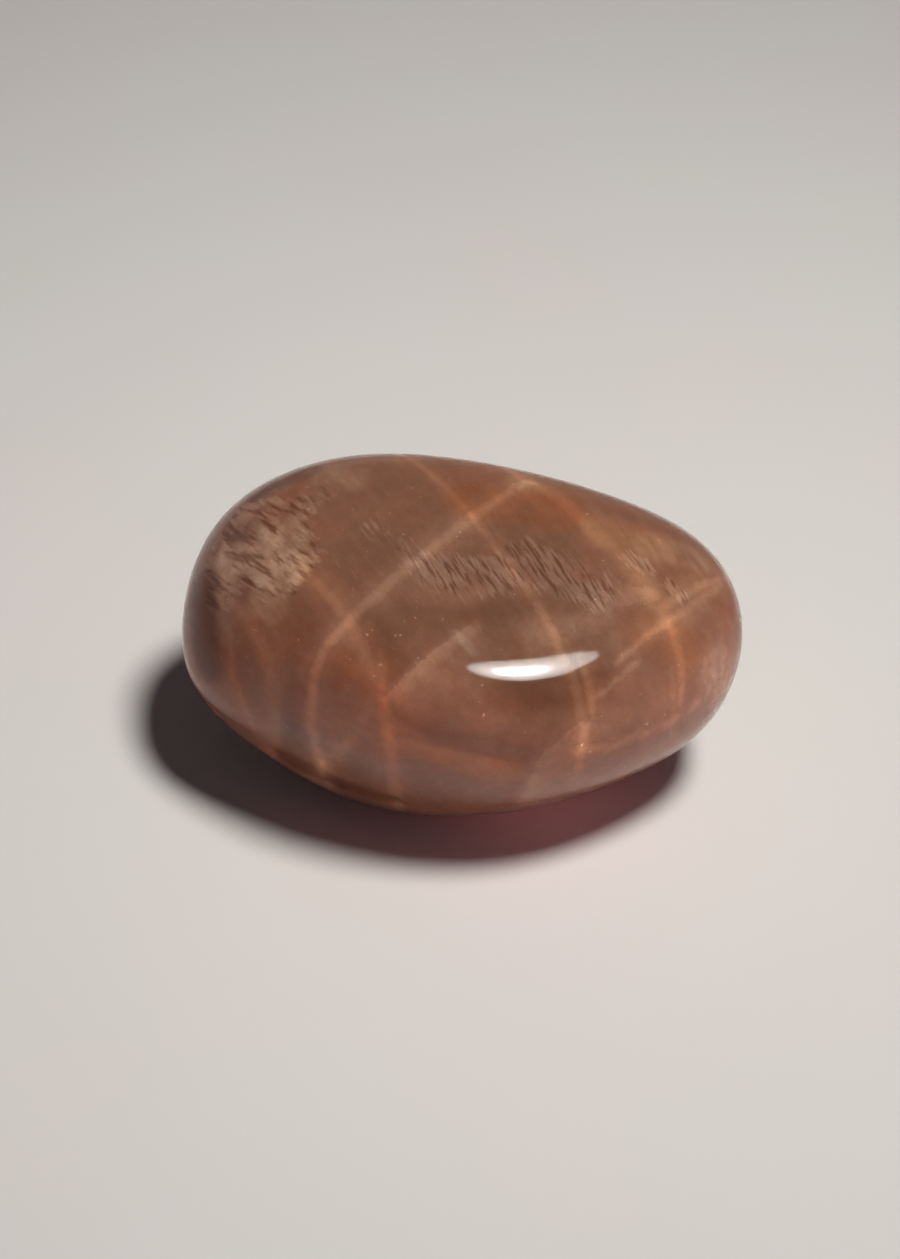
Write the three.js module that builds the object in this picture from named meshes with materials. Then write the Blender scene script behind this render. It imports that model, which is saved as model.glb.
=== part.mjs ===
// A tumbled moonstone: one polished pebble, lying on a small flat that wear has rubbed on its underside.
//
// The stone began as a block of feldspar between broken faces. Tumbling wore each face into a broad,
// gently curved patch, rounded the edges between them and took the corners down towards an egg. The
// model says the same: an egg and a list of worn faces, blended into one skin.
//
// Millimetres, +X towards the narrow end, +Y across, +Z up. The origin is on the surface that the stone
// lies on, below the middle of its bounding box.

import * as THREE from "three";
import { mergeVertices } from "three/addons/utils/BufferGeometryUtils.js";

// Driving dimensions: the caliper sizes of the stone.
const LENGTH = 32.0;
const WIDTH = 23.2;
const HEIGHT = 17.3;

// Half axes of the egg that the tumbling was wearing the block towards, about the heart of the stone.
const EGG_HALF_LENGTH = 18.5;
const EGG_HALF_WIDTH = 12.8;
const EGG_HALF_HEIGHT = 10.7;

// The worn faces. Azimuth turns from +X towards +Y and elevation rises from level, both in degrees.
// Distance runs from the heart of the stone to the face, before its edges were rounded off.
const WORN_FACES = [
  { name: "narrow end", azimuth: 5, elevation: -10, distance: 16.9 },
  { name: "narrow end, back", azimuth: 20, elevation: 0, distance: 17.5 },
  { name: "narrow end, front", azimuth: -55, elevation: -15, distance: 12.9 },
  { name: "narrow end, below", azimuth: 5, elevation: -50, distance: 14.7 },
  { name: "back, right", azimuth: 50, elevation: 40, distance: 13.2 },
  { name: "back, middle", azimuth: 75, elevation: 35, distance: 10.7 },
  { name: "broad end", azimuth: 175, elevation: 0, distance: 17.5 },
  { name: "broad end, above", azimuth: -150, elevation: 40, distance: 11.8 },
  { name: "broad end, below", azimuth: 175, elevation: -60, distance: 11.8 },
  { name: "broad end, front", azimuth: -140, elevation: -35, distance: 14.6 },
  { name: "front, left", azimuth: -115, elevation: -10, distance: 10.0 },
  { name: "front, middle", azimuth: -90, elevation: -15, distance: 11.2 },
  { name: "front slope", azimuth: -65, elevation: 50, distance: 10.6 },
  { name: "front keel", azimuth: -65, elevation: -60, distance: 10.2 },
  { name: "crown", azimuth: -65, elevation: 75, distance: 7.8 },
  { name: "foot", azimuth: 0, elevation: -90, distance: 9.2 },
];

// How crisp the worn edges are: a high number leaves flat faces and tight edges, a low one an even form.
const EDGE_CRISPNESS = 9;

// Thickness of stone rubbed off below to make the flat, and the half height of its rounded rim.
const FOOT_WEAR = 0.6;
const FOOT_RIM = 0.05;

// Squares along each side of the six grids that wrap the stone.
const GRID_STEPS = 24;

const PEACH_BROWN = 0x7d5242;
const POLISH_ROUGHNESS = 0.12;

// The unit vector that points along an azimuth and an elevation given in degrees.
function directionOf(azimuth, elevation) {
  const turn = THREE.MathUtils.degToRad(azimuth);
  const rise = THREE.MathUtils.degToRad(elevation);
  return new THREE.Vector3(
    Math.cos(rise) * Math.cos(turn),
    Math.cos(rise) * Math.sin(turn),
    Math.sin(rise),
  );
}

// Each face as a vector whose dot product with a point is 1 on the face and less inside it.
const faceGauges = WORN_FACES.map(({ azimuth, elevation, distance }) =>
  directionOf(azimuth, elevation).divideScalar(distance),
);

// The same measure for the egg: 1 on its shell and less inside it.
function eggGauge(point) {
  return Math.hypot(
    point.x / EGG_HALF_LENGTH,
    point.y / EGG_HALF_WIDTH,
    point.z / EGG_HALF_HEIGHT,
  );
}

// How far the skin lies from the heart in a direction. A power mean blends the egg with the faces that
// look that way, which rounds the edges between them and keeps their middles nearly flat.
function skinDistance(direction) {
  let blend = eggGauge(direction) ** EDGE_CRISPNESS;
  for (const gauge of faceGauges) {
    blend += Math.max(0, gauge.dot(direction)) ** EDGE_CRISPNESS;
  }
  return blend ** (-1 / EDGE_CRISPNESS);
}

// Height above the worn flat, for a point at a given height above it before the wear. Inside the rim the
// height eases from nothing to its full value along a parabola.
function wornHeight(height) {
  if (height <= -FOOT_RIM) return 0;
  if (height >= FOOT_RIM) return height;
  return (height + FOOT_RIM) ** 2 / (4 * FOOT_RIM);
}

// A closed box whose grid lines are spread by equal angles and pulled out to the proportions of the
// stone, so that its triangles stay even when every vertex is moved onto the skin.
function wrappingGrid() {
  const box = new THREE.BoxGeometry(2, 2, 2, GRID_STEPS, GRID_STEPS, GRID_STEPS);
  box.deleteAttribute("normal");
  box.deleteAttribute("uv");
  const grid = mergeVertices(box, 1e-5);
  const equalAngle = (coordinate) => Math.tan((coordinate * Math.PI) / 4);
  const points = grid.getAttribute("position");
  for (let i = 0; i < points.count; i += 1) {
    points.setXYZ(
      i,
      equalAngle(points.getX(i)) * LENGTH,
      equalAngle(points.getY(i)) * WIDTH,
      equalAngle(points.getZ(i)) * HEIGHT,
    );
  }
  return grid;
}

// Moves every vertex of a geometry with a function that changes a point in place.
function reshape(geometry, move) {
  const points = geometry.getAttribute("position");
  const point = new THREE.Vector3();
  for (let i = 0; i < points.count; i += 1) {
    move(point.fromBufferAttribute(points, i));
    points.setXYZ(i, point.x, point.y, point.z);
  }
  geometry.computeBoundingBox();
}

// Wraps the grid onto the skin about the heart, with the underside not yet worn flat.
function tumble(geometry) {
  reshape(geometry, (point) => {
    point.normalize();
    point.multiplyScalar(skinDistance(point));
  });
}

// Rubs the flat into the underside and puts it at height zero.
function wearFoot(geometry) {
  const flat = geometry.boundingBox.min.z + FOOT_WEAR;
  reshape(geometry, (point) => {
    point.z = wornHeight(point.z - flat);
  });
}

// Brings the stone to its caliper sizes and puts its middle above the origin.
function caliper(geometry) {
  const size = geometry.boundingBox.getSize(new THREE.Vector3());
  const middle = geometry.boundingBox.getCenter(new THREE.Vector3());
  reshape(geometry, (point) => {
    point.x = ((point.x - middle.x) * LENGTH) / size.x;
    point.y = ((point.y - middle.y) * WIDTH) / size.y;
    point.z = (point.z * HEIGHT) / size.z;
  });
}

function makeMoonstone() {
  const geometry = wrappingGrid();
  tumble(geometry);
  wearFoot(geometry);
  caliper(geometry);
  geometry.computeVertexNormals();
  const polish = new THREE.MeshStandardMaterial({
    color: PEACH_BROWN,
    roughness: POLISH_ROUGHNESS,
    metalness: 0,
  });
  const stone = new THREE.Mesh(geometry, polish);
  stone.name = "moonstone";
  return stone;
}

const group = new THREE.Group();
group.add(makeMoonstone());

export default group;
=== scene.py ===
"""The looks of a tumbled peach moonstone: its fine surface, its material, a pale table and soft light.

Sizes are in millimetres and MM turns them into Blender's metres. A place on the front of the stone is named
by the pixel of the 900 x 1259 picture that shows it, and found in space along the camera's line of sight.
A place on the back or the underside is named by its direction from the stone's heart.
"""

import math

import bmesh
import bpy
import numpy as np
from mathutils import Matrix, Vector
from mathutils.bvhtree import BVHTree


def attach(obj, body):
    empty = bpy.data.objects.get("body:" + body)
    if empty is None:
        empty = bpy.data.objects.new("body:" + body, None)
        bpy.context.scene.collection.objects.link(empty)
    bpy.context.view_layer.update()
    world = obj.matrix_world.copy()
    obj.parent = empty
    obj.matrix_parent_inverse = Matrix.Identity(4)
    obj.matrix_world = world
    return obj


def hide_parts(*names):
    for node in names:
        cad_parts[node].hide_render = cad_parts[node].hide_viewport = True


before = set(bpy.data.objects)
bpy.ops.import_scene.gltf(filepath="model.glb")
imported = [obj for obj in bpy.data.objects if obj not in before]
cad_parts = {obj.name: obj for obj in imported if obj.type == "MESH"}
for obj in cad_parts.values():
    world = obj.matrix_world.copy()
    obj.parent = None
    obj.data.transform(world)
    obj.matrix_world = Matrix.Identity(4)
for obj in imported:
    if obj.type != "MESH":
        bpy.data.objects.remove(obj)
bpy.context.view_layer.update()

MM = 0.001

# Noise is given as "changes", how often it changes to the millimetre, and "detail", how many finer layers it
# has. A pair of levels says where in a noise its effect starts and where it is full.

# The camera: how the picture was taken.
PICTURE_SIZE = (900, 1259)
FOCAL_PIXELS = 3500
SENSOR = 36.0
CAMERA_ELEVATION = 40.0
CAMERA_DISTANCE = 200.0
NEAREST_SEEN = 10.0
LOOK_AT = Vector((-0.55, -0.42, 8.80))

# The stone's heart, from which its hidden places are named and at which the lamps point.
HEART = Vector((0.02, -0.81, 8.34))

# The lamp that lights the scene, and how wide it looks from the stone.
LAMP_DIRECTION = Vector((0.33, -0.06, 0.94))
LAMP_DISTANCE = 400.0
LAMP_ANGLE = 14.5
LAMP_SPREAD = 62.0
LAMP_WATTS = 0.168
LAMP_COLOUR = (1.0, 0.985, 0.955)

# The lamp's glare, which only the polish shows: three discs in front of one another, each smaller than the
# one behind it, which give the reflection a soft rim. name: (how wide it looks, watts).
GLARE_DIRECTION = Vector((0.345, -0.15, 0.93))
GLARE_DISCS = {"rim": (14.5, 0.038), "middle": (10.5, 0.01), "core": (6.6, 0.02)}
GLARE_GAP = 1.0

# The weak light from all round.
FILL_COLOUR = (0.95, 0.87, 1.0)
FILL_STRENGTH = 0.04

# Light that has sunk into the stone and leaks out on to the table as a faint red pool.
GLOW_PLACE = Vector((5.0, -5.0, 7.0))
GLOW_COLOUR = (1.0, 0.3, 0.3)
GLOW_WATTS = 0.00028

# The round table top, and a wall that curves up far behind the stone.
TABLE_RADIUS = 420.0
COVE_RADIUS = 90.0
COVE_STEPS = 8
WALL_HEIGHT = 300.0
ROUND_STEPS = 96
STAGE_WELD = 0.01

# The table's pale card.
CARD_BLOTCHES = {"changes": 0.03, "detail": 3.0}
CARD_LEVELS = (0.3, 0.7)
CARD_ROUGHNESS = 0.85
CARD_GLOSS = 0.2

# The lit room that the stone mirrors. The table shines more and more from here to its edge, and the wall
# less and less between two heights.
ROOM_COLOUR = (1.0, 0.97, 0.94, 1.0)
ROOM_LIGHT = 0.3
ROOM_STARTS = 130.0
WALL_PALE_TO = 60.0
WALL_DARK_FROM = 260.0

# The stone's mesh: how close two points are before they are one, up to which angle two triangles are joined
# into one face, and how often each face is divided.
WELD = 0.002
JOINING_ANGLE = 60.0
SUBDIVISIONS = 2

# The stone's shader: how deep red, green and blue light sink in, how much the polish mirrors, how rough it
# is where it is smoothest and roughest, and how it ripples.
SCATTER_DEPTH = (8.0, 3.5, 2.6)
STONE_IOR = 1.53
POLISH_LEVEL = 0.33
GLOSS_CLOUDS = {"changes": 0.8, "detail": 3.0}
SMOOTHEST = 0.03
ROUGHEST = 0.09
RIPPLES = {"changes": 0.9, "detail": 3.0}
RIPPLE_STRENGTH = 0.2
RIPPLE_HEIGHT = 0.01

# How squarely the surface faces the lamp where its brown is fully lit, where the painted glow is full, and
# where it is turned so far away that painted shade starts and is darkest.
FULLY_LIT = 0.95
FULLY_PAINTED_GLOW = 0.2
PAINTED_SHADE_STARTS = 0.05
PAINTED_SHADE_DARKEST = -0.5

# Painted shade on the underside: how steeply the underside looks down, as the upward part of its normal,
# where the painted shade starts and where it is darkest.
PAINTED_UNDERSIDE_SHADE_STARTS = -0.42
PAINTED_UNDERSIDE_SHADE_DARKEST = -0.75


def srgb(red, green, blue):
    """A colour written as 0-255 sRGB numbers, as Blender's linear colour."""
    linear = []
    for part in (red, green, blue):
        value = part / 255
        linear.append(value / 12.92 if value <= 0.04045 else ((value + 0.055) / 1.055) ** 2.4)
    return (*linear, 1.0)


# The card's two tones.
COOL_CARD = srgb(229, 227, 222)
WARM_CARD = srgb(231, 225, 222)

# The stone's brown where it faces the lamp, and the lighter brown of a painted glow where it is turned away,
# which stands for light from inside.
LIT_BROWN = srgb(135, 95, 75)
PAINTED_GLOW_BROWN = srgb(164, 111, 88)

# How each tone changes the brown: what it multiplies red, green and blue by.
# Painted shade on the side turned away from the lamp.
PAINTED_SHADE_TINT = (0.74, 0.72, 0.78, 1.0)
# Painted shade on the underside.
PAINTED_UNDERSIDE_SHADE_TINT = (0.37, 0.52, 0.72, 1.0)
TINTS = {
    "amber": (1.3, 1.3, 1.15, 1.0),
    "rose": (1.22, 1.28, 1.3, 1.0),
    # rust is also painted shade on the lower left flank
    "rust_and_painted_shade": (1.12, 0.82, 0.6, 1.0),
    "mauve": (1.04, 1.06, 1.22, 1.0),
    # umber is also painted shade at the left edge and along the lower rim
    "umber_and_painted_shade": (0.55, 0.44, 0.4, 1.0),
    "milk": (1.5, 1.85, 1.95, 1.0),
}

# How far clouds and, at the milky spots, streaks push the edge of a spot in and out.
SPOT_CLOUDS = {"changes": 0.9, "detail": 4.0}
CLOUD_PUSH = 0.6
STREAK_PUSH = 2.2

# The mottling that runs through the whole stone.
MOTTLING = [
    {"changes": 0.28, "detail": 4.0, "levels": (0.4, 0.75), "tint": (1.14, 1.12, 1.06, 1.0)},
    {"changes": 1.5, "detail": 5.0, "levels": (0.35, 0.65), "tint": (0.93, 0.92, 0.93, 1.0)},
    {"changes": 8.0, "detail": 2.0, "levels": (0.35, 0.65), "tint": (0.94, 0.94, 0.94, 1.0)},
]

# The silk along the stone's lamellae: its direction, the fine threads that tint the whole stone, and the
# coarser streaks that break up the milky spots. "across" and "along" say how many times to the millimetre
# they change.
SILK_DIRECTION = Vector((0.49, -0.85, -0.1))
SILK_THREADS = {"across": 1.6, "along": 0.12}
SILK_LEVELS = (0.4, 0.65)
SILK_TINT = (1.06, 1.08, 1.1, 1.0)
MILK_STREAKS = {"across": 1.7, "along": 0.35}

# The feathery inclusions: soft milky streaks with dark dashes between them, both drawn out along one
# direction. A dash starts to show where the noise falls below "dash_from" and is darkest DASH_EDGE lower.
FEATHERS = {
    "coarse_feather": {
        "direction": Vector((0.5, -0.8, 0.29)), "across": 2.6, "along": 0.45,
        "milk": (1.42, 1.7, 1.78, 1.0), "dash": (0.66, 0.6, 0.58, 1.0), "dash_from": 0.5,
    },
    "fine_feather": {
        "direction": Vector((0.49, -0.825, -0.28)), "across": 5.4, "along": 0.8,
        "milk": (1.38, 1.6, 1.76, 1.0), "dash": (0.7, 0.64, 0.62, 1.0), "dash_from": 0.49,
    },
}
DASH_EDGE = 0.17
MILK_LEVELS = (0.38, 0.6)
FEATHER_CLOUDS = {"changes": 0.7, "detail": 3.0}
FEATHER_LEVELS = (0.25, 0.6)
RAGGED_ENDS = 0.3

# What a healed sheet multiplies the brown by where it is strongest, and how it comes and goes along its run.
PEACH_TINT = (1.9, 1.95, 1.8, 1.0)
ROSE_TINT = (1.9, 2.25, 2.35, 1.0)
SHEET_CLOUDS = {"changes": 1.4, "detail": 4.0}
SHEET_LEVELS = (0.0, 0.55)

# The fainter halo round each sheet: how many times as wide and how strong it is beside the sheet itself.
HALO_REACH = 2.3
HALO_STRENGTH = 0.36

# How a sheet wanders off its plane: pairs of changes to the millimetre and how far they push it.
WANDERING = ((0.22, 0.9), (1.3, 0.3), (5.0, 0.22))

# Soft spots of each tone: two pixels, how far it reaches from the line between them, and how strong it is.
# The higher its fullness, the more of its reach a spot fills evenly.
SPOT_FULLNESS = 1.4
SEEN_SPOTS = {
    "amber": [
        ((600, 530), (655, 545), 1.9, 0.8),
        ((640, 560), (690, 580), 2.0, 0.5),
        ((305, 565), (330, 590), 1.8, 0.45),
        ((636, 582), (660, 600), 1.3, 0.4),
        ((340, 675), (400, 715), 2.0, 0.4),
        ((400, 740), (500, 772), 1.6, 0.8),
    ],
    "rose": [
        ((640, 650), (715, 640), 2.8, 1.0),
        ((430, 700), (480, 705), 2.6, 1.0),
        ((620, 700), (660, 690), 2.4, 0.9),
        ((712, 640), (720, 675), 2.8, 1.0),
        ((425, 592), (470, 592), 1.6, 0.7),
        ((290, 530), (350, 520), 3.0, 0.3),
    ],
    # the stone's red-orange, and painted shade on the lower left flank
    "rust_and_painted_shade": [
        ((470, 500), (560, 510), 2.4, 0.6),
        ((348, 672), (350, 700), 1.8, 0.2),
        ((255, 650), (400, 735), 5.0, 0.4),
        ((320, 715), (400, 745), 3.0, 0.5),
        ((400, 735), (500, 770), 2.4, 0.4),
        ((640, 628), (690, 650), 2.2, 0.4),
        ((225, 680), (250, 715), 2.2, 0.5),
    ],
    "mauve": [
        ((520, 690), (540, 700), 2.0, 0.3),
        ((660, 735), (700, 710), 2.0, 0.4),
        ((700, 690), (722, 650), 2.2, 0.6),
        ((410, 650), (470, 640), 1.6, 0.4),
        ((430, 570), (600, 590), 1.8, 0.3),
    ],
    # the stone's dark brown, and painted shade at the left edge, along the lower rim and in the notch at the
    # lower left
    "umber_and_painted_shade": [
        ((203, 590), (208, 660), 2.2, 1.0),
        ((470, 614), (545, 604), 1.2, 0.35),
        ((245, 640), (285, 725), 2.6, 0.35),
        ((285, 757), (335, 782), 1.2, 0.6),
        ((258, 492), (305, 473), 1.6, 0.7),
        ((505, 694), (600, 686), 1.8, 0.5),
        ((360, 615), (392, 662), 1.6, 0.4),
        ((345, 785), (392, 800), 0.9, 0.6),
        ((298, 690), (300, 740), 1.2, 0.42),
    ],
    "milk": [
        ((268, 588), (290, 568), 1.9, 1.0),
        ((262, 600), (276, 606), 1.6, 0.55),
        ((228, 562), (285, 540), 2.4, 0.6),
        ((330, 474), (352, 478), 1.8, 0.45),
        ((716, 665), (722, 690), 2.0, 0.6),
        ((455, 634), (474, 652), 0.5, 0.4),
        ((650, 545), (700, 560), 1.6, 0.5),
    ],
    "coarse_feather": [
        ((222, 590), (262, 520), 2.6, 1.0),
        ((250, 565), (288, 575), 2.4, 1.0),
        ((214, 560), (240, 515), 1.8, 0.9),
        ((268, 528), (320, 494), 1.8, 0.8),
        ((290, 525), (308, 555), 2.2, 0.7),
    ],
    "fine_feather": [
        ((440, 577), (505, 574), 2.3, 1.0),
        ((372, 528), (420, 560), 1.4, 0.65),
        ((525, 560), (590, 588), 2.5, 1.0),
        ((628, 558), (648, 568), 1.0, 0.9),
        ((670, 585), (682, 598), 0.9, 0.9),
        ((330, 560), (360, 590), 1.4, 0.4),
    ],
}

# The same on the hidden sides: two directions from the heart (azimuth from +X, elevation), reach, strength.
HIDDEN_SPOTS = {
    "amber": [((60, 10), (80, 20), 3.5, 0.6), ((150, 0), (170, -20), 3.0, 0.5)],
    "rose": [((90, 0), (120, 5), 4.0, 0.6), ((-10, 0), (10, 5), 3.5, 0.6)],
    "rust_and_painted_shade": [((20, -50), (60, -60), 3.5, 0.4), ((110, 5), (120, 20), 3.0, 0.6)],
    "mauve": [((100, -10), (130, 0), 4.0, 0.5), ((-90, -60), (-40, -60), 4.0, 0.5)],
    "umber_and_painted_shade": [((35, 5), (45, -10), 3.0, 0.6), ((180, -40), (200, -50), 3.0, 0.6)],
    "milk": [((75, 30), (110, 35), 2.6, 0.7), ((10, -20), (25, -25), 2.4, 0.6)],
    "coarse_feather": [((26, 12), (48, 20), 3.0, 0.9)],
    "fine_feather": [((0, 10), (14, 22), 2.0, 0.6)],
}

# Healed cleavage sheets. Each is a plane through two places that the picture shows, which leans by some
# degrees round the line between them. name: (first pixel, last pixel, lean, reach on its near and far side,
# strength, how far it runs on before the first and past the last).
PEACH_SHEETS = {
    "a1_upper": ((415, 460), (539, 605), -12, 0.5, 0.5, 0.45, 30, 2),
    "a1_lower": ((539, 605), (581, 759), -8, 0.6, 0.6, 0.62, 1, 2),
    "a1_companion": ((584, 669), (592, 712), -14, 0.45, 0.5, 0.9, 0.8, 1),
    "a2_upper": ((547, 490), (667, 622), -30, 0.85, 0.85, 0.5, 20, 1),
    "a2_lower": ((667, 622), (681, 698), -22, 0.5, 0.5, 0.55, 0.5, 1),
    "a2_branch": ((672, 673), (672, 735), 12, 0.4, 0.4, 0.25, 0.5, 1),
    "a3_upper": ((312, 580), (378, 682), -8, 0.6, 0.6, 0.55, 2, 1),
    "a3_lower": ((380, 672), (396, 803), -46, 0.7, 0.8, 0.65, 1, 3),
    "a4": ((248, 618), (272, 746), 5, 0.8, 0.6, 0.5, 1, 8),
    "a5": ((229, 631), (258, 738), 46, 0.5, 0.4, 0.3, 1, 2),
    "band": ((334, 725), (530, 772), 46, 0.8, 0.5, 0.25, 1, 1),
}
ROSE_SHEETS = {
    "b1_upper": ((530, 481), (346, 627), -4, 0.7, 0.7, 0.75, 0.5, 1),
    "b1_lower": ((346, 627), (318, 758), -22, 0.7, 0.7, 0.8, 1, 5),
    "b2_right": ((716, 585), (663, 624), -52, 0.55, 0.55, 0.5, 6, 1),
    "b2_pale": ((722, 577), (672, 602), -22, 0.6, 0.6, 0.6, 2, 1),
    "b2_strand": ((659, 627), (621, 658), -8, 0.35, 0.35, 0.6, 1, 1),
    "b2_strand_low": ((634, 665), (600, 693), -8, 0.32, 0.32, 0.5, 1, 1),
    "b2_branch": ((667, 622), (707, 596), -8, 0.3, 0.3, 0.3, 0.5, 0.3),
    "b3_upper": ((650, 588), (530, 640), 41, 0.7, 0.7, 0.5, 1, 1),
    "b3_lower": ((464, 632), (393, 689), -26, 0.2, 1.2, 0.6, 1.5, 1),
    "b4": ((579, 729), (522, 802), -50, 0.2, 1.5, 0.5, 1, 3),
}

# Bright specks painted into the colour, for small glints and pale flecks: those that the picture shows, by
# pixel, and a fine scatter everywhere.
SPECKS = [(487, 483), (398, 637), (393, 637), (365, 635), (415, 618), (621, 615), (599, 632), (297, 640),
          (489, 750), (583, 747), (646, 725), (484, 716)]
SPECK_REACH = 0.12
SPECK_CORE = 0.03
SCATTER_REACH = 0.08
SCATTER_STRENGTH = 0.6
SCATTERED_TO_A_MILLIMETRE = 1.1
GLINT_AND_FLECK_TINT = (2.0, 2.5, 2.8, 1.0)

# The part of a scattered dot's reach over which it has its full strength.
DOT_CORE = 0.3

# Pits in the polish, which dull the lamp's reflection.
PITS_TO_A_MILLIMETRE = 0.8
PIT_REACH = 0.1
PIT_ROUGHNESS = 0.45

# Small chips along the lower edge, where healed sheets come out: pixels for those that the picture shows and
# directions from the heart for the hidden ones. All have one depth and fade over one reach.
SEEN_CHIPS = [(272, 752), (330, 784), (396, 802)]
HIDDEN_CHIPS = [(60, -35), (130, -30), (165, -45), (-15, -40)]
CHIP_DEPTH = 0.14
CHIP_REACH = 0.45


# ---------------------------------------------------------------------------------------------------------
# Places

def camera_axes():
    """The camera's right, up and backward directions."""
    tilt = math.radians(CAMERA_ELEVATION)
    right = Vector((1, 0, 0))
    up = Vector((0, math.sin(tilt), math.cos(tilt)))
    back = Vector((0, -math.cos(tilt), math.sin(tilt)))
    return right, up, back


def stone_tree(node):
    """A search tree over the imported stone, in millimetres."""
    points = [vertex.co / MM for vertex in node.data.vertices]
    faces = [tuple(face.vertices) for face in node.data.polygons]
    return BVHTree.FromPolygons(points, faces)


def seen_place(tree, pixel):
    """Where the camera's line of sight through a pixel meets the stone."""
    right, up, back = camera_axes()
    across = pixel[0] - PICTURE_SIZE[0] / 2
    down = pixel[1] - PICTURE_SIZE[1] / 2
    ray = right * across - up * down - back * FOCAL_PIXELS
    place = tree.ray_cast(LOOK_AT + back * CAMERA_DISTANCE, ray.normalized())[0]
    if place is None:
        raise ValueError(f"pixel {pixel} misses the stone")
    return place


def hidden_place(tree, direction):
    """Where a ray from the stone's heart comes out, for an azimuth and an elevation in degrees."""
    azimuth, elevation = (math.radians(angle) for angle in direction)
    level = math.cos(elevation)
    ray = Vector((level * math.cos(azimuth), level * math.sin(azimuth), math.sin(elevation)))
    return tree.ray_cast(HEART, ray)[0]


# ---------------------------------------------------------------------------------------------------------
# The stone's surface

def fine_stone(node):
    """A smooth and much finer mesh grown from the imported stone."""
    work = bmesh.new()
    work.from_mesh(node.data)
    bmesh.ops.remove_doubles(work, verts=work.verts, dist=WELD * MM)
    angle = math.radians(JOINING_ANGLE)
    bmesh.ops.join_triangles(
        work, faces=work.faces, angle_face_threshold=angle, angle_shape_threshold=angle)
    cage = bpy.data.meshes.new("stone_cage")
    work.to_mesh(cage)
    work.free()
    piece = bpy.data.objects.new("polished_moonstone", cage)
    bpy.context.scene.collection.objects.link(piece)
    smooth = piece.modifiers.new("fine", "SUBSURF")
    smooth.levels = SUBDIVISIONS
    grown = piece.evaluated_get(bpy.context.evaluated_depsgraph_get())
    piece.data = bpy.data.meshes.new_from_object(grown)
    piece.modifiers.clear()
    piece.data.materials.clear()
    for face in piece.data.polygons:
        face.use_smooth = True
    return piece


def mesh_points(mesh):
    """The mesh's points in millimetres, one row each."""
    points = np.empty(len(mesh.vertices) * 3)
    mesh.vertices.foreach_get("co", points)
    return points.reshape(-1, 3) / MM


def mesh_normals(mesh):
    """The mesh's smooth normals, one row for each point."""
    normals = np.empty(len(mesh.vertices) * 3)
    mesh.vertex_normals.foreach_get("vector", normals)
    return normals.reshape(-1, 3)


def write_mask(mesh, name, values):
    """Stores one number for each point, for the material to read."""
    mask = mesh.attributes.new(name, "FLOAT", "POINT")
    mask.data.foreach_set("value", values)


def spot_strength(points, start, end, reach, strength):
    """How strongly a spot colours each point: fully near its line from start to end, not at its reach."""
    start, end = np.array(start), np.array(end)
    line = end - start
    along = np.clip((points - start) @ line / (line @ line), 0, 1)
    distance = np.linalg.norm(points - start - along[:, None] * line, axis=1)
    nearness = np.clip(SPOT_FULLNESS * (1 - distance / reach), 0, 1)
    return strength * nearness * nearness * (3 - 2 * nearness)


def chip(piece, tree):
    """Pushes the surface in a little at each chip."""
    points = mesh_points(piece.data)
    normals = mesh_normals(piece.data)
    places = [seen_place(tree, pixel) for pixel in SEEN_CHIPS]
    places += [hidden_place(tree, direction) for direction in HIDDEN_CHIPS]
    for place in places:
        distance = np.linalg.norm(points - np.array(place), axis=1)
        points -= normals * (CHIP_DEPTH * np.exp(-(distance / CHIP_REACH) ** 2))[:, None]
    piece.data.vertices.foreach_set("co", (points * MM).ravel())
    piece.data.update()


def spots_bare(tree, points, spots, find):
    """How little of each point the spots colour. find turns a spot's pixel or direction into its place."""
    bare = np.ones(len(points))
    for first, last, reach, strength in spots:
        bare *= 1 - spot_strength(points, find(tree, first), find(tree, last), reach, strength)
    return bare


def fall(values, start, end):
    """0 where a value is at its start, 1 where it has fallen to its end, and even between."""
    return np.clip((start - values) / (start - end), 0, 1)


def paint_masks(piece, tree):
    """Writes one soft mask for each tone, and for the painted glow and painted shade, as a number at every
    point of the mesh.
    """
    points = mesh_points(piece.data)
    normals = mesh_normals(piece.data)
    for name, seen in SEEN_SPOTS.items():
        bare = spots_bare(tree, points, seen, seen_place)
        bare *= spots_bare(tree, points, HIDDEN_SPOTS[name], hidden_place)
        write_mask(piece.data, name, 1 - bare)
    # Painted light, by how the surface faces the lamp and how far it looks down: a painted glow, painted
    # shade on the side away from the lamp and painted shade on the underside.
    facing = normals @ np.array(LAMP_DIRECTION.normalized())
    write_mask(piece.data, "glow", fall(facing, FULLY_LIT, FULLY_PAINTED_GLOW))
    write_mask(piece.data, "painted_shade", fall(facing, PAINTED_SHADE_STARTS, PAINTED_SHADE_DARKEST))
    write_mask(piece.data, "painted_underside_shade", fall(normals[:, 2], PAINTED_UNDERSIDE_SHADE_STARTS, PAINTED_UNDERSIDE_SHADE_DARKEST))


# ---------------------------------------------------------------------------------------------------------
# Materials

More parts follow.
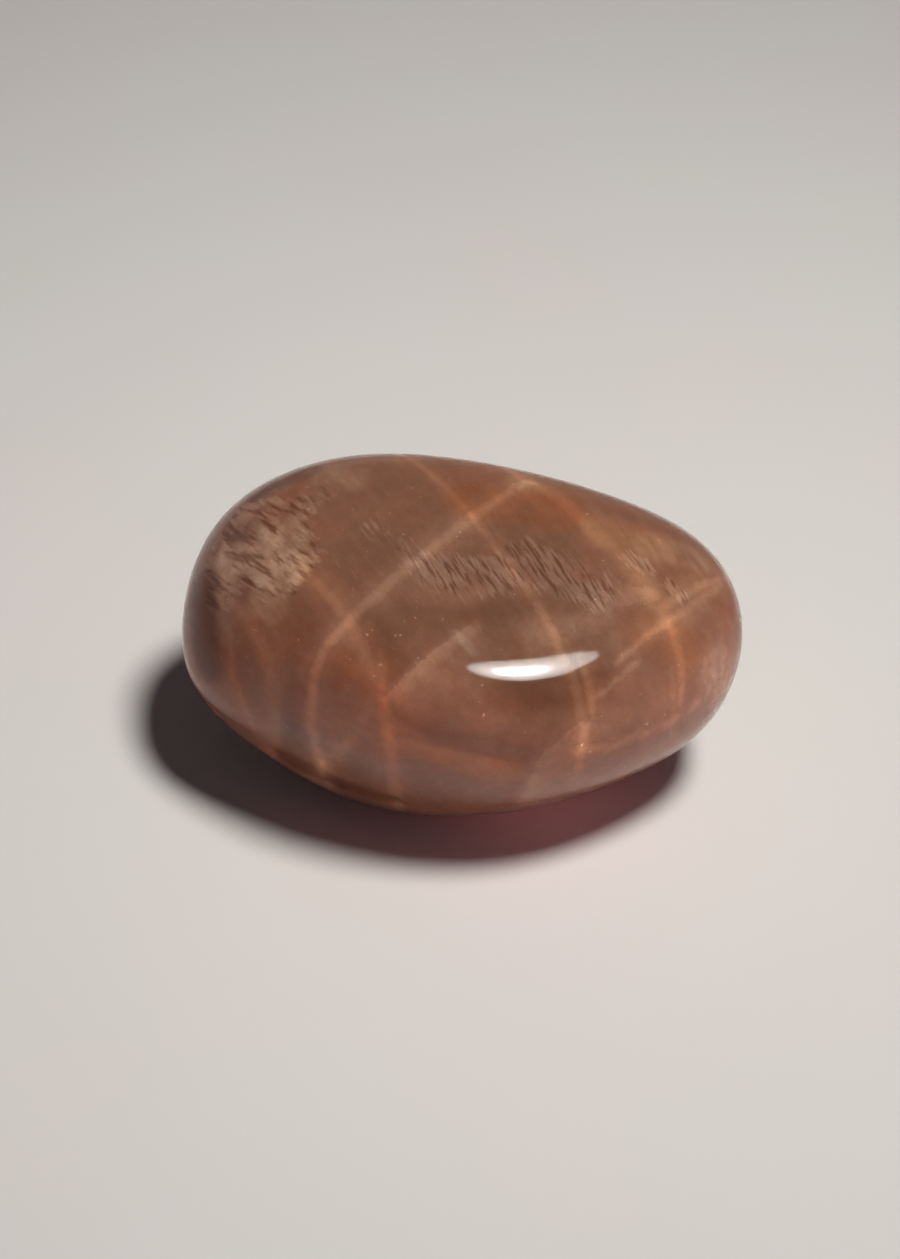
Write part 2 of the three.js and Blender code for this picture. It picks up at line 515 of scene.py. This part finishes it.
class Graph:
    """Short calls that build a tree of shader nodes."""

    def __init__(self, tree):
        self.tree = tree

    def add(self, kind, inputs=None, **settings):
        """Adds a node. An input that is a socket is linked and any other is set."""
        node = self.tree.nodes.new(kind)
        for name, value in settings.items():
            setattr(node, name, value)
        for name, value in (inputs or {}).items():
            self.feed(node.inputs[name], value)
        return node

    def feed(self, socket, value):
        if isinstance(value, bpy.types.NodeSocket):
            self.tree.links.new(value, socket)
        else:
            socket.default_value = value

    def math(self, operation, *values):
        node = self.add("ShaderNodeMath", dict(enumerate(values)), operation=operation)
        return node.outputs[0]

    def vector_node(self, operation, *values):
        return self.add("ShaderNodeVectorMath", dict(enumerate(values)), operation=operation)

    def vector(self, operation, *values):
        return self.vector_node(operation, *values).outputs["Vector"]

    def dot(self, first, second):
        return self.vector_node("DOT_PRODUCT", first, second).outputs["Value"]

    def distance(self, first, second):
        return self.vector_node("DISTANCE", first, second).outputs["Value"]

    def scaled(self, vector, size):
        node = self.add("ShaderNodeVectorMath", {0: vector, "Scale": size}, operation="SCALE")
        return node.outputs["Vector"]

    def rise(self, value, low, high):
        """0 below low, 1 above high, and smooth between. With low above high it falls instead."""
        names = {"Value": value, "From Min": low, "From Max": high}
        return self.add("ShaderNodeMapRange", names, interpolation_type="SMOOTHSTEP").outputs["Result"]

    def mix(self, factor, first, second, blend="MIX"):
        """Mixes or multiplies two colours."""
        node = self.add("ShaderNodeMix", data_type="RGBA", blend_type=blend)
        for name, value in (("Factor_Float", factor), ("A_Color", first), ("B_Color", second)):
            socket = next(one for one in node.inputs if one.identifier == name)
            self.feed(socket, value)
        return next(one for one in node.outputs if one.identifier == "Result_Color")

    def noise(self, place, changes, detail, output="Fac"):
        """Soft noise about 0.5, with so many changes to the millimetre and so many finer layers."""
        inputs = {"Vector": place, "Scale": changes, "Detail": detail}
        return self.add("ShaderNodeTexNoise", inputs).outputs[output]

    def tint(self, tone, tint, amount):
        """The tone, multiplied by the tint as far as the amount says."""
        return self.mix(amount, tone, tint, "MULTIPLY")

    def mask(self, name):
        return self.add("ShaderNodeAttribute", attribute_name=name).outputs["Fac"]

    def millimetres(self):
        """The place on the object, in millimetres."""
        return self.scaled(self.add("ShaderNodeTexCoord").outputs["Object"], 1 / MM)


def empty_material(name):
    """A material without nodes, and its graph."""
    material = bpy.data.materials.new(name)
    material.use_nodes = True
    material.node_tree.nodes.clear()
    return material, Graph(material.node_tree)


def new_material(name):
    """A material, its graph and its principled shader."""
    material, graph = empty_material(name)
    shader = graph.add("ShaderNodeBsdfPrincipled")
    graph.add("ShaderNodeOutputMaterial", {"Surface": shader.outputs["BSDF"]})
    return material, graph, shader


def sheet_group():
    """A node group that says how much of a healed sheet shows at a place."""
    group = bpy.data.node_groups.new("healed_sheet", "ShaderNodeTree")
    sockets = [("Place", "NodeSocketVector"), ("Normal", "NodeSocketVector"), ("Offset", "NodeSocketFloat"),
               ("Along", "NodeSocketVector"), ("Start", "NodeSocketFloat"), ("Near", "NodeSocketFloat"),
               ("Far", "NodeSocketFloat"), ("Length", "NodeSocketFloat"), ("Before", "NodeSocketFloat"),
               ("After", "NodeSocketFloat"), ("Strength", "NodeSocketFloat")]
    for name, kind in sockets:
        group.interface.new_socket(name, in_out="INPUT", socket_type=kind)
    group.interface.new_socket("Amount", in_out="OUTPUT", socket_type="NodeSocketFloat")
    graph = Graph(group)
    given = graph.add("NodeGroupInput").outputs
    side = graph.math("SUBTRACT", graph.dot(given["Place"], given["Normal"]), given["Offset"])
    across = None
    for reach, strength in ((1.0, 1.0), (HALO_REACH, HALO_STRENGTH)):
        near = graph.rise(side, graph.math("MULTIPLY", given["Near"], reach), 0.0)
        far = graph.rise(side, graph.math("MULTIPLY", given["Far"], -reach), 0.0)
        shown = graph.math("MULTIPLY", graph.math("MULTIPLY", near, far), strength)
        across = shown if across is None else graph.math("MAXIMUM", across, shown)
    run = graph.math("SUBTRACT", graph.dot(given["Place"], given["Along"]), given["Start"])
    before = graph.math("MULTIPLY", given["Before"], -1.0)
    stop = graph.math("ADD", given["Length"], given["After"])
    length = graph.math("MULTIPLY", graph.rise(run, before, 0.0), graph.rise(run, stop, given["Length"]))
    amount = graph.math("MULTIPLY", graph.math("MULTIPLY", across, length), given["Strength"])
    graph.add("NodeGroupOutput", {"Amount": amount})
    return group


def sheet_plane(tree, first, last, lean):
    """The plane of a sheet: its start, the direction and length of its run, and its normal."""
    start, end = seen_place(tree, first), seen_place(tree, last)
    run = (end - start).normalized()
    level = run.cross(Vector((0, 0, 1)) - run * run.z).normalized()
    normal = Matrix.Rotation(math.radians(lean), 3, run) @ level
    return start, run, (end - start).length, normal


def sheets_showing(graph, group, tree, place, sheets):
    """The strongest of several healed sheets at each place."""
    strongest = None
    for first, last, lean, near, far, strength, before, after in sheets.values():
        start, run, length, normal = sheet_plane(tree, first, last, lean)
        sheet = graph.add("ShaderNodeGroup", node_tree=group)
        values = {"Place": place, "Normal": normal, "Offset": start.dot(normal), "Along": run,
                  "Start": start.dot(run), "Near": near, "Far": far, "Length": length, "Before": before,
                  "After": after, "Strength": strength}
        for name, value in values.items():
            graph.feed(sheet.inputs[name], value)
        amount = sheet.outputs["Amount"]
        strongest = amount if strongest is None else graph.math("MAXIMUM", strongest, amount)
    return strongest


def wander(graph, place):
    """The place, pushed about a little so that a flat sheet runs unevenly."""
    push = place
    for changes, size in WANDERING:
        noise = graph.noise(place, changes, detail=2.0, output="Color")
        centred = graph.vector("SUBTRACT", noise, (0.5, 0.5, 0.5))
        push = graph.vector("ADD", push, graph.scaled(centred, size))
    return push


def streaky_noise(graph, place, direction, across, along):
    """Noise drawn out along a direction, with so many changes to the millimetre across and along it."""
    length = direction.normalized()
    side = length.cross(Vector((0, 0, 1))).normalized()
    axes = ((length, along), (side, across), (side.cross(length), across))
    parts = [graph.math("MULTIPLY", graph.dot(place, axis), size) for axis, size in axes]
    stretched = graph.add("ShaderNodeCombineXYZ", dict(enumerate(parts))).outputs["Vector"]
    return graph.noise(stretched, changes=1.0, detail=2.0)


def body_tone(graph, place):
    """The clouded brown of the stone, with a painted glow where it turns away from the lamp, painted shade
    further round and underneath, and its warmer, greyer, darker and milkier areas, some of the darker ones
    partly painted shade.
    """
    # Painted glow where the surface turns away from the lamp, then painted shade further round and on the
    # underside.
    tone = graph.mix(graph.mask("glow"), LIT_BROWN, PAINTED_GLOW_BROWN)
    for name, tint in (("painted_shade", PAINTED_SHADE_TINT), ("painted_underside_shade", PAINTED_UNDERSIDE_SHADE_TINT)):
        tone = graph.tint(tone, tint, graph.rise(graph.mask(name), 0.0, 1.0))
    cloud = graph.math("SUBTRACT", graph.noise(place, **SPOT_CLOUDS), 0.5)
    ragged = graph.math("MULTIPLY", cloud, CLOUD_PUSH)
    streaks = graph.math("SUBTRACT", streaky_noise(graph, place, SILK_DIRECTION, **MILK_STREAKS), 0.5)
    streaked = graph.math("MULTIPLY", streaks, STREAK_PUSH)
    for name, tint in TINTS.items():
        mask = graph.mask(name)
        edge = graph.math("MULTIPLY_ADD", streaked if name == "milk" else ragged, mask, mask)
        tone = graph.tint(tone, tint, graph.rise(edge, 0.0, 1.0))
    return tone


def mottle(graph, place, tone):
    """Clouds, grain and a faint silk along the lamellae, which run through the whole stone."""
    for kind in MOTTLING:
        noise = graph.noise(place, kind["changes"], kind["detail"])
        tone = graph.tint(tone, kind["tint"], graph.rise(noise, *kind["levels"]))
    silk = streaky_noise(graph, place, SILK_DIRECTION, **SILK_THREADS)
    return graph.tint(tone, SILK_TINT, graph.rise(silk, *SILK_LEVELS))


def feather(graph, place, tone, name):
    """Milky streaks with dark dashes between them, inside the mask of that name, with ragged ends."""
    look = FEATHERS[name]
    zone = graph.rise(graph.mask(name), 0.0, 1.0)
    noise = streaky_noise(graph, place, look["direction"], look["across"], look["along"])
    lack = graph.math("MULTIPLY", graph.math("SUBTRACT", 1.0, zone), RAGGED_ENDS)
    milk = graph.rise(graph.math("SUBTRACT", noise, lack), *MILK_LEVELS)
    dash = graph.rise(graph.math("ADD", noise, lack), look["dash_from"], look["dash_from"] - DASH_EDGE)
    patchy = graph.rise(graph.noise(place, **FEATHER_CLOUDS), *FEATHER_LEVELS)
    tone = graph.tint(tone, look["milk"], graph.math("MULTIPLY", milk, patchy))
    return graph.tint(tone, look["dash"], dash)


def scatter(graph, place, to_a_millimetre, reach):
    """Small dots, so many to the millimetre, scattered through the stone."""
    cells = graph.add("ShaderNodeTexVoronoi", {"Vector": place, "Scale": to_a_millimetre})
    edge = reach * to_a_millimetre
    return graph.rise(cells.outputs["Distance"], edge, DOT_CORE * edge)


def glint_and_fleck_amount(graph, tree, place):
    """Tiny bright specks: painted glints and pale flecks."""
    scattered = scatter(graph, place, SCATTERED_TO_A_MILLIMETRE, SCATTER_REACH)
    amount = graph.math("MULTIPLY", scattered, SCATTER_STRENGTH)
    for pixel in SPECKS:
        gap = graph.distance(place, seen_place(tree, pixel))
        amount = graph.math("MAXIMUM", amount, graph.rise(gap, SPECK_REACH, SPECK_CORE))
    return amount


def stone_colour(graph, tree, place, pushed):
    """The stone's colour, from its clouded body, with painted glow and painted shade, to its inclusions,
    healed sheets and bright specks of painted glint and pale fleck.
    """
    tone = mottle(graph, place, body_tone(graph, place))
    for name in FEATHERS:
        tone = feather(graph, place, tone, name)
    patchy = graph.rise(graph.noise(place, **SHEET_CLOUDS), *SHEET_LEVELS)
    group = sheet_group()
    for sheets, tint in ((PEACH_SHEETS, PEACH_TINT), (ROSE_SHEETS, ROSE_TINT)):
        amount = graph.math("MULTIPLY", sheets_showing(graph, group, tree, pushed, sheets), patchy)
        tone = graph.tint(tone, tint, amount)
    return graph.tint(tone, GLINT_AND_FLECK_TINT, glint_and_fleck_amount(graph, tree, pushed))


def polish_roughness(graph, place, pushed):
    """A polish that is a little uneven, with small dull pits."""
    gloss = graph.noise(place, **GLOSS_CLOUDS)
    polish = graph.add("ShaderNodeMapRange", {"Value": gloss, "To Min": SMOOTHEST, "To Max": ROUGHEST})
    pits = graph.math("MULTIPLY", scatter(graph, pushed, PITS_TO_A_MILLIMETRE, PIT_REACH), PIT_ROUGHNESS)
    return graph.math("ADD", polish.outputs["Result"], pits)


def stone_material(tree):
    """Polished, faintly translucent peach moonstone."""
    material, graph, shader = new_material("peach_moonstone")
    place = graph.millimetres()
    pushed = wander(graph, place)
    graph.feed(shader.inputs["Base Color"], stone_colour(graph, tree, place, pushed))
    shader.subsurface_method = "RANDOM_WALK"
    shader.inputs["Subsurface Weight"].default_value = 1.0
    shader.inputs["Subsurface Radius"].default_value = SCATTER_DEPTH
    shader.inputs["Subsurface Scale"].default_value = MM
    shader.inputs["IOR"].default_value = STONE_IOR
    shader.inputs["Specular IOR Level"].default_value = POLISH_LEVEL
    graph.feed(shader.inputs["Roughness"], polish_roughness(graph, place, pushed))
    ripple = graph.noise(place, **RIPPLES)
    heights = {"Height": ripple, "Strength": RIPPLE_STRENGTH, "Distance": RIPPLE_HEIGHT * MM}
    graph.feed(shader.inputs["Normal"], graph.add("ShaderNodeBump", heights).outputs["Normal"])
    return material


def table_material():
    """Matt, pale, faintly uneven card."""
    material, graph, shader = new_material("pale_card")
    place = graph.millimetres()
    blotch = graph.noise(place, **CARD_BLOTCHES)
    tone = graph.mix(graph.rise(blotch, *CARD_LEVELS), COOL_CARD, WARM_CARD)
    graph.feed(shader.inputs["Base Color"], tone)
    shader.inputs["Roughness"].default_value = CARD_ROUGHNESS
    shader.inputs["Specular IOR Level"].default_value = CARD_GLOSS
    shader.inputs["Emission Color"].default_value = ROOM_COLOUR
    far = graph.rise(graph.distance(place, (0, 0, 0)), ROOM_STARTS, TABLE_RADIUS)
    graph.feed(shader.inputs["Emission Strength"], graph.math("MULTIPLY", far, ROOM_LIGHT))
    return material


def wall_material():
    """A wall that shines softly, pale at its foot and dark at its top."""
    material, graph = empty_material("dim_wall")
    height = graph.dot(graph.millimetres(), (0, 0, 1))
    strength = graph.math("MULTIPLY", graph.rise(height, WALL_DARK_FROM, WALL_PALE_TO), ROOM_LIGHT)
    light = graph.add("ShaderNodeEmission", {"Color": ROOM_COLOUR, "Strength": strength})
    graph.add("ShaderNodeOutputMaterial", {"Surface": light.outputs["Emission"]})
    return material


# ---------------------------------------------------------------------------------------------------------
# The stage

def spun_sheet(name, profile, material):
    """A stage piece: a profile of (radius, height) pairs turned once round the upright axis."""
    work = bmesh.new()
    points = [work.verts.new((radius * MM, 0, height * MM)) for radius, height in profile]
    edges = [work.edges.new(pair) for pair in zip(points, points[1:])]
    bmesh.ops.spin(
        work, geom=points + edges, cent=(0, 0, 0), axis=(0, 0, 1), angle=math.tau, steps=ROUND_STEPS)
    bmesh.ops.remove_doubles(work, verts=work.verts, dist=STAGE_WELD * MM)
    bmesh.ops.recalc_face_normals(work, faces=work.faces)
    for face in work.faces:
        face.smooth = True
    mesh = bpy.data.meshes.new(name)
    work.to_mesh(mesh)
    work.free()
    mesh.materials.append(material)
    piece = bpy.data.objects.new(name, mesh)
    bpy.context.scene.collection.objects.link(piece)
    return piece


def make_table():
    """A round table top, and a wall far behind the stone that is seen and mirrored but throws no light."""
    flat = [(0.0, 0.0), (TABLE_RADIUS / 2, 0.0), (TABLE_RADIUS, 0.0)]
    spun_sheet("table_top", flat, table_material())
    profile = []
    for step in range(COVE_STEPS + 1):
        turn = math.radians(90 * step / COVE_STEPS)
        radius = TABLE_RADIUS + COVE_RADIUS * math.sin(turn)
        profile.append((radius, COVE_RADIUS * (1 - math.cos(turn))))
    profile.append((TABLE_RADIUS + COVE_RADIUS, WALL_HEIGHT))
    wall = spun_sheet("wall", profile, wall_material())
    wall.visible_diffuse = False
    wall.visible_shadow = False


def make_camera():
    """The camera that took the picture."""
    right, up, back = camera_axes()
    data = bpy.data.cameras.new("camera")
    data.sensor_width = SENSOR
    data.lens = FOCAL_PIXELS * SENSOR / max(PICTURE_SIZE)
    camera = bpy.data.objects.new("camera", data)
    spot = (LOOK_AT + back * CAMERA_DISTANCE) * MM
    camera.matrix_world = Matrix.Translation(spot) @ Matrix((right, up, back)).transposed().to_4x4()
    bpy.context.scene.collection.objects.link(camera)
    bpy.context.scene.camera = camera
    data.clip_start = NEAREST_SEEN * MM


def add_lamp(name, direction, angle, distance, watts, diffuse, glossy):
    """A round lamp that looks some degrees wide from the stone."""
    data = bpy.data.lights.new(name, "AREA")
    data.shape = "DISK"
    data.size = 2 * distance * math.tan(math.radians(angle / 2)) * MM
    data.energy = watts
    data.color = LAMP_COLOUR
    data.spread = math.radians(LAMP_SPREAD)
    lamp = bpy.data.objects.new(name, data)
    direction = direction.normalized()
    lamp.location = (HEART + direction * distance) * MM
    lamp.rotation_mode = "QUATERNION"
    lamp.rotation_quaternion = direction.to_track_quat("Z", "Y")
    lamp.visible_diffuse = diffuse
    lamp.visible_glossy = glossy
    lamp.visible_camera = False
    bpy.context.scene.collection.objects.link(lamp)


def add_glow():
    """The faint red light that the stone lets through to the table round it."""
    data = bpy.data.lights.new("glow", "POINT")
    data.energy = GLOW_WATTS
    data.color = GLOW_COLOUR
    data.use_shadow = False
    glow = bpy.data.objects.new("glow", data)
    glow.location = GLOW_PLACE * MM
    glow.visible_glossy = False
    glow.visible_camera = False
    bpy.context.scene.collection.objects.link(glow)


def light_the_scene():
    """One soft lamp, its glare on the polish, the stone's glow and a weak fill from all round."""
    add_lamp("key", LAMP_DIRECTION, LAMP_ANGLE, LAMP_DISTANCE, LAMP_WATTS, diffuse=True, glossy=False)
    distance = LAMP_DISTANCE
    for name, (angle, watts) in GLARE_DISCS.items():
        add_lamp("glare_" + name, GLARE_DIRECTION, angle, distance, watts, diffuse=False, glossy=True)
        distance -= GLARE_GAP
    add_glow()
    world = bpy.data.worlds.new("room")
    world.use_nodes = True
    sky = world.node_tree.nodes["Background"]
    sky.inputs["Color"].default_value = (*FILL_COLOUR, 1.0)
    sky.inputs["Strength"].default_value = FILL_STRENGTH
    bpy.context.scene.world = world
    bpy.context.scene.view_settings.view_transform = "Standard"


def make_stone():
    """The polished stone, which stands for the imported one."""
    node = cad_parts["moonstone"]
    tree = stone_tree(node)
    stone = fine_stone(node)
    chip(stone, tree)
    paint_masks(stone, tree)
    stone.data.materials.append(stone_material(tree))
    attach(stone, "root")
    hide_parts("moonstone")


make_camera()
make_stone()
make_table()
light_the_scene()
